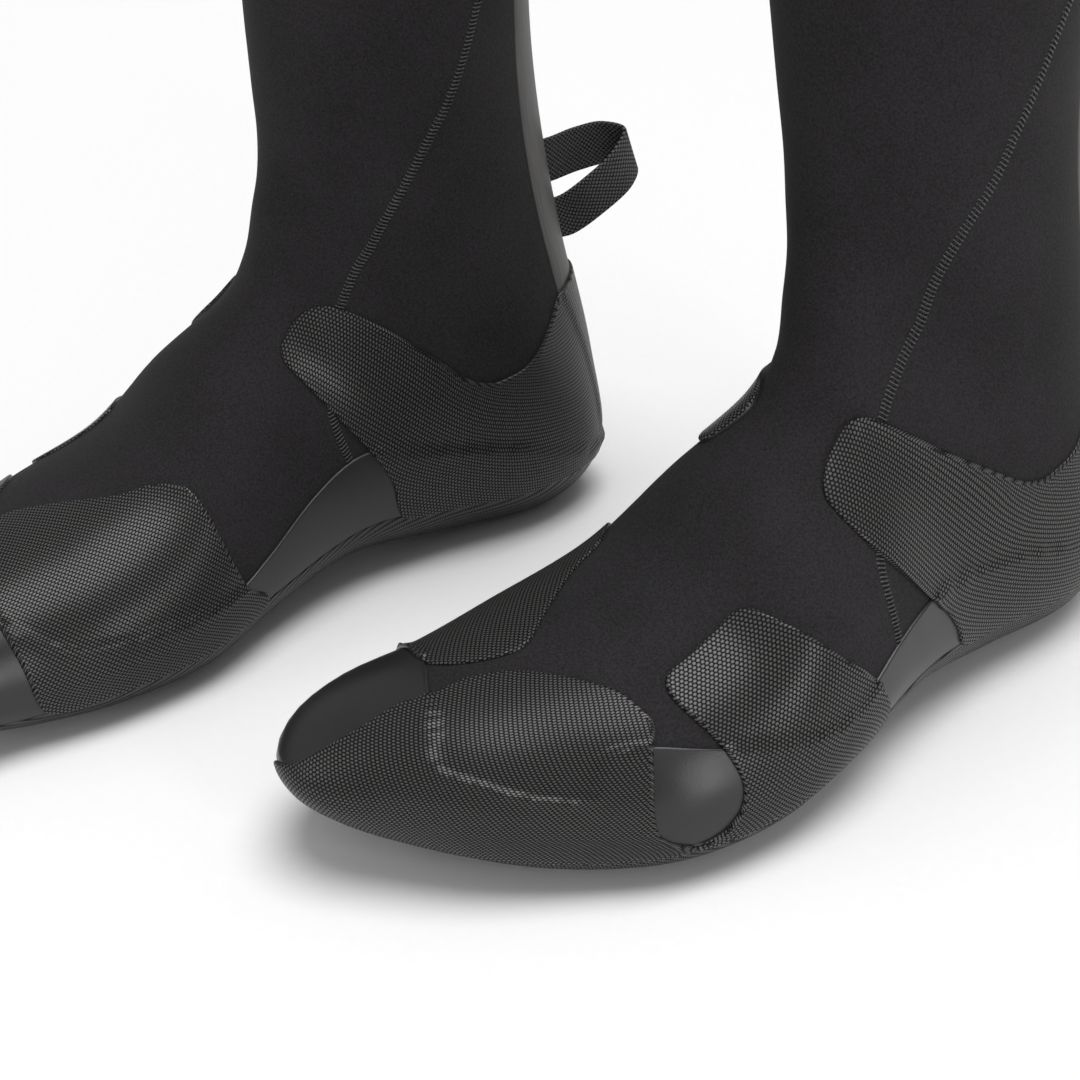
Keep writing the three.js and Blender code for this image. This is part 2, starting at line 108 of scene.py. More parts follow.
make_camera()
overhead_light((0.3, 0.15, 1.5), 40, 2.15)
area_light("side_strip", (1.4, -0.02, 0.3), (0.0, -0.02, 0.03), (0.9, 0.24), 5)
area_light("toe_softbox", (-0.6, -1.4, 0.9), (0.0, 0.0, 0.05), (0.9, 0.9), 3)

# ---- The last ----
TOP_OF_BOOT = [[283, 28], [283, 36], [271, 45], [253, 52], [229, 56], [202, 61], [170, 70],
               [147, 90], [123.8, 105.4], [116, 118.4], [112, 134], [109, 146], [107, 159],
               [106, 173], [105, 190], [104, 210], [105, 232]]
SOLE_OF_BOOT = [[283, 28], [275, 20], [265, 14], [250, 8], [229, 2], [203, 0], [172, 0], [142, 5],
                [107, 9], [68, 3], [26, 0], [3, 15], [2, 53], [8, 101], [12, 143], [13, 185],
                [8, 232]]
HALF_WIDTH_INNER = [0, 17, 30, 39, 46, 52, 50, 41, 34, 34, 38, 37, 37, 37, 39, 42, 46]
HALF_WIDTH_OUTER = [0, 15, 28, 41, 50, 61, 64, 60, 48, 38, 38, 38, 37, 37, 39, 42, 46]
MIDDLE = [-18, -18, -16, -11, -4, 0, 1, 2, 4, 5.5, 4, 2, 1, 1, 0, -1, 0]
WIDEST = [0.55, 0.55, 0.58, 0.6, 0.62, 0.64, 0.66, 0.68, 0.66, 0.64, 0.6, 0.54, 0.47, 0.44, 0.43,
          0.44, 0.46]
CORNER = [2.2, 2.3, 2.5, 2.8, 3, 3.2, 3.2, 3, 2.9, 2.8, 2.6, 2.4, 2, 1.9, 1.85, 1.9, 2]
UPPER_CORNER = 2.04
TOP_STATION = 16


def column(values, before):
    """One column of the last with the mirrored neighbour before the tip and one past the top."""
    return np.array([before, *values, 2 * values[-1] - values[-2]], float)


LAST = {
    "top_reach": column([p[0] for p in TOP_OF_BOOT], SOLE_OF_BOOT[1][0]),
    "top_height": column([p[1] for p in TOP_OF_BOOT], SOLE_OF_BOOT[1][1]),
    "sole_reach": column([p[0] for p in SOLE_OF_BOOT], TOP_OF_BOOT[1][0]),
    "sole_height": column([p[1] for p in SOLE_OF_BOOT], TOP_OF_BOOT[1][1]),
    "inner": column(HALF_WIDTH_INNER, -HALF_WIDTH_INNER[1]),
    "outer": column(HALF_WIDTH_OUTER, -HALF_WIDTH_OUTER[1]),
    "middle": column(MIDDLE, MIDDLE[1]),
    "widest": column(WIDEST, WIDEST[1]),
    "corner": column(CORNER, CORNER[1]),
}


def along(name, v):
    """Uniform Catmull-Rom spline through one column at stations v."""
    i = np.clip(np.floor(v), 0, TOP_STATION - 1).astype(int)
    t = v - i
    a, b, c, d = (LAST[name][i + k] for k in range(4))
    return 0.5 * (2 * b + (c - a) * t + (2 * a - 5 * b + 4 * c - d) * t**2
                  + (3 * b - a - 3 * c + d) * t**3)


def skin(v, turn):
    """Superellipse sections: half width times sine, and down from top to sole line by cosine."""
    v, turn = np.broadcast_arrays(np.asarray(v, float), np.asarray(turn, float))
    c, s = np.cos(turn * DEGREE), np.sin(turn * DEGREE)
    power = np.where(c > 0, UPPER_CORNER, along("corner", v))
    reach = (np.abs(c) ** power + np.abs(s) ** power) ** (-1 / power)
    widest = along("widest", v)
    down = widest + np.where(c > 0, -widest, 1 - widest) * np.abs(c) * reach
    width = np.where(s > 0, along("outer", v), along("inner", v))
    top, sole = along("top_reach", v), along("sole_reach", v)
    high, low = along("top_height", v), along("sole_height", v)
    return np.stack([along("middle", v) + width * s * reach, -(top + (sole - top) * down),
                     high + (low - high) * down], axis=-1)


NEAR_TIP, SLOPE_STEP = 0.08, 0.02


def skin_slopes(v, turn):
    """Change of the skin per station and per degree, and its unit normal facing out."""
    v = np.maximum(v, NEAR_TIP)
    per_station = (skin(v + SLOPE_STEP, turn) - skin(v - SLOPE_STEP, turn)) / (2 * SLOPE_STEP)
    per_degree = (skin(v, turn + 1) - skin(v, turn - 1)) / 2
    normal = np.cross(per_degree, per_station)
    return per_station, per_degree, normal / np.linalg.norm(normal, axis=-1, keepdims=True)


def layer(v, turn, depth):
    """The skin moved out along its normal by depth, and kept above the floor."""
    depth = np.broadcast_to(depth, np.shape(np.broadcast_arrays(v, turn)[0]))
    points = skin(v, turn) + skin_slopes(v, turn)[2] * depth[..., None]
    points[..., 2] = np.maximum(points[..., 2], 0)
    return points


# ---- Charts and curves ----
DISC_SCALE = 19.0


def to_disc(places):
    """Rolled out from the toe tip: straight lines stay smooth across it."""
    v, turn = np.asarray(places, float).T
    return np.stack([v * np.sin(turn * DEGREE), v * np.cos(turn * DEGREE)], -1) * DISC_SCALE


def from_disc(xy):
    """Back from the disc: station by distance, turn by direction."""
    x, y = np.moveaxis(xy / DISC_SCALE, -1, 0)
    return np.hypot(x, y), np.arctan2(x, y) / DEGREE


STATION_LENGTH = 21.0
DEGREE_LENGTH = 0.9


def to_polar(places):
    """Station and turn as they are, at about their real size."""
    return np.asarray(places, float) * [STATION_LENGTH, DEGREE_LENGTH]


def from_polar(xy):
    """Back to station and turn."""
    return xy[..., 0] / STATION_LENGTH, xy[..., 1] / DEGREE_LENGTH


DISC = (to_disc, from_disc)
POLAR = (to_polar, from_polar)


def rail(points, t, closed=False):
    """Centripetal Catmull-Rom curve; t goes 0 to 1 with an equal share for each span."""
    p = np.asarray(points, float)
    if closed:
        q, spans = np.concatenate([p[-1:], p, p[:2]]), len(p)
    else:
        q, spans = np.concatenate([2 * p[:1] - p[1:2], p, 2 * p[-1:] - p[-2:-1]]), len(p) - 1
    s = np.asarray(t, float) * spans
    i = np.clip(np.floor(s).astype(int), 0, spans - 1)
    w = (s - i)[..., None]
    a, b, c, d = (q[i + k] for k in range(4))
    ab, bc, cd = (np.sqrt(np.linalg.norm(n - m, axis=-1, keepdims=True)) + 1e-9
                  for m, n in ((a, b), (b, c), (c, d)))
    start = ((b - a) / ab - (c - a) / (ab + bc) + (c - b) / bc) * bc
    end = ((c - b) / bc - (d - b) / (bc + cd) + (d - c) / cd) * bc
    return (b + start * w + (3 * (c - b) - 2 * start - end) * w**2
            + (2 * (b - c) + start + end) * w**3)


RAIL_SAMPLES = 4001


def evenly(points, chart, spacing, closed=False):
    """(v, turn) along a curve in a chart, evenly spaced by real length."""
    draw, read = chart
    t = np.linspace(0, 1, RAIL_SAMPLES)
    fine = rail(draw(points), t, closed)
    steps = np.linalg.norm(np.diff(skin(*read(fine)), axis=0), axis=-1)
    length = np.concatenate([[0], np.cumsum(steps)])
    count = int(round(length[-1] / spacing))
    wanted = np.linspace(0, length[-1], count + 1)
    if closed:
        wanted = wanted[:-1]
    return rail(draw(points), np.interp(wanted, length, t), closed)


def smooth(low, high, x):
    """0 below low, 1 above high, smoothstep between."""
    t = np.clip((x - low) / (high - low), 0, 1)
    return t * t * (3 - 2 * t)


# ---- The outlines of the left boot; but for one strap the right boot is its mirror image ----
SOLE_EDGE = [[0.65, 160], [1, 137], [2, 124], [3, 118], [4, 113], [4.7, 109], [5.07, 106.6],
             [5.5, 108.6], [6, 110], [7, 115], [7.8, 118], [8.4, 117], [9, 119], [10, 127],
             [10.6, 140], [10.95, 160], [11.03, 176]]
RAND_TOP = [[11.27, 180], [11.12, 156], [10.8, 134], [10.3, 112], [9.6, 95], [8.7, 86],
            [7.75, 86], [6.95, 87], [6, 74], [5.2, 60], [4.85, 54.4], [4.55, 53.4], [4.38, 59.5],
            [4.24, 67.5], [4.07, 70.8], [3.88, 69.6], [3.5, 64.8], [3.17, 58], [2.87, 49],
            [3, 34], [3.22, 20], [3.4, 6], [3.6, -8], [3.7, -22], [3.75, -38], [3.95, -55],
            [4.5, -71], [5.25, -78], [6, -84], [6.7, -89], [7.75, -84], [8.6, -82],
            [9.5, -93], [10.3, -112], [10.8, -134], [11.12, -156]]
RAND_BOTTOM = [[11.0, 180], [10.9, 160], [10.5, 139], [9.95, 127], [9.15, 121], [8.5, 119],
               [7.8, 119.5], [7, 116.5], [6, 112], [5.1, 111], [4.3, 113], [3.5, 116.5],
               [2.7, 120],
               [1.9, 125.5], [1.2, 134], [0.75, 150], [0.6, 180], [0.75, -150], [1.2, -134],
               [2.6, -121], [4.0, -115], [5.6, -110.5], [7, -116.5], [7.8, -119.5], [8.5, -119],
               [9.15, -121], [9.95, -127], [10.5, -139], [10.9, -160]]
TOE_CAP = [[3.35, 10], [3.78, 7], [4.23, 12], [4.6, 22], [4.9, 33], [5, 42], [5.03, 48], [4.9, 56],
           [4.78, 68], [4.7, 83], [4.76, 96], [4.9, 103.3], [5.03, 107], [5.1, 109.6],
           [5, 112.2], [4, 115.5], [3, 120.5], [2, 127], [1.3, 136], [0.85, 153], [0.75, 180],
           [0.85, -150], [0.98, -120], [0.95, -90], [0.88, -55], [0.92, -25], [1.33, 7],
           [2.33, 13], [3, 9.5]]
OUTER_WING = [[4.98, 109.8], [5.12, 107], [5.28, 103.2], [5.43, 94], [5.53, 81], [5.48, 70],
              [5.43, 62], [5.28, 46], [5.27, 40], [5.34, 36], [5.6, 34.4], [5.95, 33],
              [6.14, 33], [6.28, 35.5], [6.45, 44], [6.88, 66], [7.33, 87], [7.4, 98],
              [7.44, 112], [7.3, 118.5], [6.5, 114.8], [5.9, 113], [5.3, 113], [5, 112.2]]
INNER_WING = [[4.4, 4.6], [4.56, 4], [5, -6], [5.58, -20.5], [5.9, -25.5], [6.25, -38],
              [6.38, -51], [6.48, -70], [6.6, -86], [6.72, -98], [6.9, -111], [6.8, -118],
              [6, -113], [5, -112.5], [4.2, -115.5], [4, -110], [3.94, -98], [3.9, -80],
              [3.82, -58], [3.72, -34], [3.62, -11], [3.95, 0]]
COUNTER_BACK = [[12.33, 132], [12.6, 152], [12.68, 178], [12.6, 179.8], [11.14, 179.8],
                [11.06, 178], [10.97, 162], [10.66, 142], [10.1, 129.5], [9, 121.5], [8.62, 119.5]]
COUNTER_OUTER = [[8.12, 29.5], [8.5, 31], [8.8, 34.5], [9.05, 40], [9.4, 52], [9.68, 62],
                 [10.05, 74], [10.35, 84], [10.98, 97], [11.53, 110], [12, 122], *COUNTER_BACK,
                 [8.58, 108], [8.47, 93], [8.1, 75], [7.8, 60], [7.6, 43], [7.58, 35.5],
                 [7.8, 30.5]]
COUNTER_INNER = [[8.4, 36.2], [8.75, 36.6], [9.1, 38.4], [9.4, 41.5], [9.66, 47], [10, 58.5],
                 [10.28, 74], [10.4, 83], [10.98, 97], [11.53, 110], [12, 122], *COUNTER_BACK,
                 [8.6, 110], [8.68, 96], [8.62, 82], [8.4, 66], [8.1, 46], [8.05, 41],
                 [8.12, 37.4]]
# The left boot's inner strap reaches further over the instep than the right one's.
COUNTER_INNER_FRONT = [[7.22, 17.5], [7.38, 11.5], [7.6, 8.6], [7.85, 9.4], [8.08, 15],
                       [8.45, 26], [9, 37], [9.5, 46], [10, 58.5], *COUNTER_INNER[6:-4],
                       [8.3, 58], [7.75, 40], [7.32, 26]]
OUTER_SEAM = [[7.72, 88], [7.85, 60], [8.5, 46.5], [9.3, 41.8], [10.3, 42.4], [11.3, 48],
              [12.25, 57.2], [13, 68], [14, 86], [15, 102], [16, 118]]
INNER_SEAM = [[8.3, -88], [8.4, -66], [9, -50], [9.75, -46.2], [10.6, -47], [11.4, -53],
              [12.23, -63.5], [13.18, -80], [14, -95], [15, -109], [16, -122]]
TUCK = 120                # the turn to which the neoprene is tucked under the sole


def opposite(points):
    """The same outline on the inner side of the boot."""
    return [[v, -turn] for v, turn in points]


# ---- Depths of the finished faces ----
SUNK = -0.7               # the neoprene under the rubber of the foot
OVERLAY = 1.05            # how far a rubber overlay stands off the neoprene
OVERLAY_BACK = -1.3       # the hidden back of an overlay
RAND_FACE = 0.2
SOLE_FACE = 0.5
RUBBER_BACK = -1.2        # the hidden back of the rand and the sole
RUBBER_ROUND = 0.7        # radius of the rounded edge of the rand and the sole
RIDGE = 0.9               # how far the rand's top edge shows through an overlay
BEAD = 0.55               # the moulded bead along the rand's top edge
BEAD_INSET, BEAD_WIDTH = 0.7, 1.1
STRIP_FACE = 0.75
STRIP_RIDGE = 0.75        # how far the strip shows through the heel counter
TAB_LIFT = 0.7            # how far the strap ends stand off the instep
NEOPRENE = 5.2            # thickness of a panel
PANEL_ROUND = 0.6         # radius of a panel's edge at a seam
LINING = 0.8
LINING_GAP = 0.3
LINING_SINK = 3.2
FOLD_HEIGHT, FOLD_SLOPE = 90, 0.2     # the line above which the neoprene is not sunk

FOLD_TURNS = np.linspace(-180, 180, 361)


def fold_stations():
    """Halving search for the station where the skin crosses the plane of the ankle."""
    low, high = np.full(len(FOLD_TURNS), 7.0), np.full(len(FOLD_TURNS), 16.0)
    for _ in range(30):
        middle = (low + high) / 2
        p = skin(middle, FOLD_TURNS)
        above = p[:, 2] > FOLD_HEIGHT + FOLD_SLOPE * (-p[:, 1] - 10)
        low, high = np.where(above, low, middle), np.where(above, middle, high)
    return low


FOLD_STATIONS = fold_stations()


def neoprene_face(v, turn):
    """The neoprene's outer face: on the skin on the shaft, sunk under the rubber of the foot."""
    wrapped = (np.asarray(turn) + 180) % 360 - 180
    share = 1 - v / np.interp(wrapped, FOLD_TURNS, FOLD_STATIONS)
    return SUNK * smooth(0.0, 0.14, share)


def within(xy, polygon):
    """Crossing-number test of many points against one polygon."""
    x, y = xy[:, 0, None], xy[:, 1, None]
    a, b = polygon, np.roll(polygon, -1, axis=0)
    rise = b[:, 1] - a[:, 1]
    rise = np.where(rise == 0, 1e-12, rise)
    spans = (a[:, 1] > y) != (b[:, 1] > y)
    left = x < (b[:, 0] - a[:, 0]) * (y - a[:, 1]) / rise + a[:, 0]
    return (spans & left).sum(axis=1) % 2 == 1


def nearest(points, line):
    """Distance from each point to the nearest point of a line, a few thousand at a time."""
    return np.concatenate([np.linalg.norm(part[:, None] - line, axis=-1).min(axis=1)
                           for part in np.array_split(points, 1 + len(points) // 1500)])


RAND_LINE = evenly(RAND_TOP, DISC, 1.5, closed=True)
RAND_LINE_POINTS = skin(*from_disc(RAND_LINE))


def rand_relief(v, turn):
    """What the rand adds under an overlay, by the distance inside its top edge: a smooth step
    of RIDGE, and BEAD times exp(-((gap - BEAD_INSET) / BEAD_WIDTH)^2)."""
    places = to_disc(np.stack([v, turn], -1))
    gap = nearest(skin(v, turn), RAND_LINE_POINTS)
    gap = np.where(within(places, RAND_LINE), gap, -gap)
    bead = BEAD * np.exp(-((gap - BEAD_INSET) / BEAD_WIDTH)**2)
    return RIDGE * smooth(-0.7, 0.7, gap) + bead


def over_strip(v, turn):
    """Smooth step from 0 to 1 at the strip's edge where it runs on under the heel counter."""
    edge = np.interp(v, [10.9, 11.4, 11.9, 12.4], [152, 146, 145, 134])
    return smooth(-1.2, 1.2, np.abs((turn + 180) % 360 - 180) - edge) * smooth(10.7, 11.4, v)


def overlay_face(v, turn):
    """An overlay's outer face, with what lies under it showing through as a soft ridge."""
    tab = smooth(7.0, 7.3, v) * smooth(9.3, 8.6, v) * smooth(44, 30, np.abs(turn))
    return (neoprene_face(v, turn) + OVERLAY + rand_relief(v, turn)
            + STRIP_RIDGE * over_strip(v, turn) + TAB_LIFT * tab)


def drop(distance, radius):
    """Quarter round at an edge: how far the face falls at a distance from it."""
    inward = np.clip(radius - distance, 0, radius)
    return radius - np.sqrt(radius**2 - inward**2)


# ---- Meshes ----
# Side, x and y of the turning point, and heading in degrees of each boot.
BOOTS = {"left": (1, 92.1, 47.1, -4.1), "right": (-1, -80.8, -27.4, -8.0)}
TURNING_POINT = 120       # how far ahead of the heel a boot turns to its heading


def stand(points, boot):
    """From the last to the frame: mirrored for the right boot, turned by its heading, moved."""
    side, x, y, heading = BOOTS[boot]
    c, s = np.cos(heading * DEGREE), np.sin(heading * DEGREE)
    across, forth = side * points[..., 0], points[..., 1] + TURNING_POINT
    return np.stack([c * across - s * forth + x, s * across + c * forth + y,
                     points[..., 2]], axis=-1) * MM


def volume(points, triangles):
    """Sum of the signed tetrahedra on the origin."""
    a, b, c = (points[triangles[:, k]] for k in range(3))
    return np.einsum("ij,ij->i", a, np.cross(b, c)).sum() / 6


def halves(faces):
    """Quads as two triangles each; triangles as they are."""
    if faces.shape[1] == 3:
        return faces
    return np.concatenate([faces[:, [0, 1, 2]], faces[:, [0, 2, 3]]])


SHARP_EDGE = 50           # degrees; a sharper fold is shaded as a corner


def make_piece(name, boot, points, face_sets, material, uv):
    """A mesh object in the frame: faces turned outwards, smooth shaded. A flat pattern, if any,
    serves the front half of the points and the back half alike. An overlay's face sets from
    the third on are its cut edge and back, which have no dots."""
    placed = stand(points, boot)
    triangles = np.concatenate([halves(f) for f in face_sets])
    if volume(placed - placed.mean(axis=0), triangles) < 0:
        face_sets = [f[:, ::-1] for f in face_sets]
    mesh = bpy.data.meshes.new(name)
    mesh.from_pydata(placed.tolist(), [], [face for f in face_sets for face in f.tolist()])
    mesh.update()
    if uv is not None:
        corners = np.empty(len(mesh.loops), np.int32)
        mesh.loops.foreach_get("vertex_index", corners)
        pattern = uv[corners % len(uv)] * MM
        mesh.uv_layers.new(name="cut").data.foreach_set("uv", pattern.ravel())
    mesh.shade_smooth()
    mesh.set_sharp_from_angle(angle=SHARP_EDGE * DEGREE)
    mesh.materials.append(material)
    if len(face_sets) > 2:
        mesh.materials.append(SMOOTH)
        cut = np.arange(len(mesh.polygons)) >= len(face_sets[0]) + len(face_sets[1])
        mesh.polygons.foreach_set("material_index", cut.astype(np.int32))
    piece = bpy.data.objects.new(name, mesh)
    bpy.context.scene.collection.objects.link(piece)
    return piece


def grid_faces(index, wrap_rows=False):
    """Quads of a grid of vertex numbers."""
    if wrap_rows:
        index = np.concatenate([index, index[:1]])
    return np.stack([index[:-1, :-1], index[1:, :-1], index[1:, 1:], index[:-1, 1:]],
                    axis=-1).reshape(-1, 4)


def wall_faces(line, shift):
    """Quads from a line of vertex numbers down to the same line in the second surface."""
    return np.stack([line[1:], line[:-1], line[:-1] + shift, line[1:] + shift], axis=-1)


def slab(outer, inner, wrap_rows=False):
    """Closed body between two grids of points: two faces and the walls round their border."""
    rows, columns = outer.shape[:2]
    index = np.arange(rows * columns).reshape(rows, columns)
    shift = rows * columns
    top = grid_faces(index, wrap_rows)
    if wrap_rows:
        ring = np.concatenate([index, index[:1]])
        borders = [ring[::-1, 0], ring[:, -1]]
    else:
        borders = [index[::-1, 0], index[0], index[:, -1], index[-1, ::-1]]
    walls = [wall_faces(b, shift) for b in borders]
    points = np.concatenate([outer.reshape(-1, 3), inner.reshape(-1, 3)])
    return points, [np.concatenate([top, top[:, ::-1] + shift, *walls])]


EDGE_STEPS = np.array([0, 0.1, 0.3, 0.6, 1.0])


def across_steps(length, columns):
    """Shares across rows of the given real lengths, crowded at both rims."""
    near = np.minimum(EDGE_STEPS / length[:, None], 0.2 * EDGE_STEPS / EDGE_STEPS[-1])
    middle = np.linspace(0, 1, columns + 2)[1:-1]
    inside = near[:, -1:] + (1 - 2 * near[:, -1:]) * middle
    return np.concatenate([near, inside, 1 - near[:, ::-1]], axis=1)


def ruled(first, second, rows, columns, chart=POLAR, closed=False):
    """(v, turn) grids ruled between two rails, and each place's real distance from the rails."""
    draw, read = chart
    t = np.linspace(0, 1, rows, endpoint=not closed)
    a, b = rail(draw(first), t, closed), rail(draw(second), t, closed)
    coarse = np.linspace(0, 1, 25)[None, :, None]
    points = skin(*read(a[:, None] * (1 - coarse) + b[:, None] * coarse))
    length = np.linalg.norm(np.diff(points, axis=1), axis=-1).sum(axis=1)
    share = across_steps(length, columns)
    v, turn = read(a[:, None] * (1 - share[..., None]) + b[:, None] * share[..., None])
    return v, turn, share * length[:, None], (1 - share) * length[:, None]


def spread(points):
    """A flat pattern for a grid: real lengths along its middle column and across its rows."""
    across = np.cumsum(np.linalg.norm(np.diff(points, axis=1), axis=-1), axis=1)
    across = np.concatenate([np.zeros((len(points), 1)), across], axis=1)
    across -= across[:, across.shape[1] // 2, None]
    middle = points[:, points.shape[1] // 2]
    down = np.concatenate([[0], np.cumsum(np.linalg.norm(np.diff(middle, axis=0), axis=-1))])
    return np.stack([np.broadcast_to(down[:, None], across.shape), across], axis=-1).reshape(-1, 2)


FLATTEN_ROUNDS = 900
STRETCHED = 2.2           # the flat picture starts too large, so that it closes up without folds
MOMENTUM, STEP = 0.9, 0.8


def flatten(points, pairs, start):
    """Springs as long as the real edges pull a flat picture of a surface to its true size."""
    a, b = pairs.T
    length = np.linalg.norm(points[a] - points[b], axis=1)
    count = np.bincount(np.concatenate([a, b]), minlength=len(points))[:, None]
    flat, speed = start * STRETCHED, 0
    for _ in range(FLATTEN_ROUNDS):
        gap = flat[b] - flat[a]
        now = np.linalg.norm(gap, axis=1) + 1e-9
        pull = gap * (0.5 * (1 - length / now))[:, None]
        move = [np.bincount(a, pull[:, k], len(points)) - np.bincount(b, pull[:, k], len(points))
                for k in (0, 1)]
        speed = MOMENTUM * speed + STEP * np.stack(move, axis=1) / count
        flat = flat + speed
    return flat


def edge_pairs(triangles):
    """Each edge once."""
    pairs = np.concatenate([triangles[:, [0, 1]], triangles[:, [1, 2]], triangles[:, [2, 0]]])
    return np.unique(np.sort(pairs, axis=1), axis=0)


def moved_in(v, turn, distance):
    """A closed loop of places moved square to itself on the skin, by a real distance."""
    per_station, per_degree, normal = skin_slopes(v, turn)
    points = skin(v, turn)
    run = np.roll(points, -1, axis=0) - np.roll(points, 1, axis=0)
    run /= np.linalg.norm(run, axis=1, keepdims=True)
    inward = np.cross(normal, run) * distance
    aa, bb = (per_station**2).sum(1), (per_degree**2).sum(1)
    ab = (per_station * per_degree).sum(1)
    a, b = (per_station * inward).sum(1), (per_degree * inward).sum(1)
    scale = aa * bb - ab**2
    return v + (bb * a - ab * b) / scale, turn + (aa * b - ab * a) / scale


def shoelace(xy):
    """Signed area of a flat polygon."""
    x, y = xy.T
    return 0.5 * (x * np.roll(y, -1) - y * np.roll(x, -1)).sum()


def softened(loop, passes):
    """A closed loop with each point drawn towards its neighbours, which rounds its corners."""
    for _ in range(passes):
        loop = 0.5 * loop + 0.25 * (np.roll(loop, 1, axis=0) + np.roll(loop, -1, axis=0))
    return loop


def facing_out(faces, points, v, turn):
    """The faces of a surface, turned round if they face into the last."""
    a, b, c = (points[faces[:, k]] for k in (0, 1, -1))
    out = skin_slopes(v[faces[:, 0]], turn[faces[:, 0]])[2]
    return faces if (np.cross(b - a, c - a) * out).sum() > 0 else faces[:, ::-1]


RIM_STEPS = (0.0, 0.12, 0.35, 0.7, 1.2)     # distances of the rim's rings from the edge
RIM_RADIUS = 0.75
LATTICE = 2.2             # spacing of the points inside the rim
ROW_SHARE = 0.866         # height of a row of an even triangular lattice, in pitches
OUTLINE_SPACING = 1.0
OUTLINE_SOFTENING = 6


def overlay(outline, chart):
    """A rubber overlay of any outline: rings round its rim, a lattice of places filled in
    between by triangles, a face following overlay_face with a rounded rim, and a back."""
    draw, read = chart
    loop = softened(evenly(outline, chart, OUTLINE_SPACING, closed=True), OUTLINE_SOFTENING)
    v, turn = read(loop)
    size = abs(shoelace(loop))
    sign = 1 if abs(shoelace(draw(np.stack(moved_in(v, turn, 0.4), -1)))) < size else -1
    rings = [read(softened(draw(np.stack(moved_in(v, turn, sign * step), -1)), round(4 * step)))
             for step in RIM_STEPS]
    last = draw(np.stack(rings[-1], -1))
    low, high = last.min(axis=0), last.max(axis=0)
    columns = np.arange(low[0], high[0], LATTICE)
    rows = np.arange(low[1], high[1], LATTICE * ROW_SHARE)
    x, y = np.meshgrid(columns, rows)
    x = x + LATTICE / 2 * (np.arange(len(rows)) % 2)[:, None]
    lattice = np.stack([x.ravel(), y.ravel()], -1)
    lattice = lattice[within(lattice, last)]
    lattice = lattice[nearest(lattice, last) > 0.6 * LATTICE]
    flat = np.concatenate([last, lattice])
    count = len(last)
    made = delaunay_2d_cdt(flat.tolist(), [], [list(range(count))], 1, 1e-5)
    source = np.array([places[0] if places else -1 for places in made[3]])
    added = source < 0
    source[added] = len(flat) + np.arange(added.sum())
    lattice = np.concatenate([lattice, np.array(made[0])[added]])
    triangles = source[np.array(made[2])] + (len(RIM_STEPS) - 1) * count
    quad = grid_faces(np.arange(len(rings) * count).reshape(-1, count).T, wrap_rows=True)
    fill_v, fill_turn = read(lattice)
    v = np.concatenate([*[r[0] for r in rings], fill_v])
    turn = np.concatenate([*[r[1] for r in rings], fill_turn])
    fall = np.concatenate([np.repeat(drop(np.array(RIM_STEPS), RIM_RADIUS), count),
                           np.zeros(len(lattice))])
    face = layer(v, turn, overlay_face(v, turn) - fall)
    back = layer(v, turn, OVERLAY_BACK)
    triangles, quad = (facing_out(part, face, v, turn) for part in (triangles, quad))
    start = draw(np.stack([v, turn], -1))
    pairs = edge_pairs(np.concatenate([triangles, halves(quad)]))
    uv = flatten(face, pairs, start)
    shift = len(face)
    ring = np.concatenate([np.arange(count), [0]])
    wall = wall_faces(ring, shift)
    first = quad[np.isin(quad, [0, 1]).sum(axis=1) == 2][0].tolist()
    if first[(first.index(0) + 1) % 4] != 1:
        wall = wall_faces(ring[::-1], shift)
    faces = [quad, triangles, wall, quad[:, ::-1] + shift, triangles[:, ::-1] + shift]
    return np.concatenate([face, back]), faces, uv


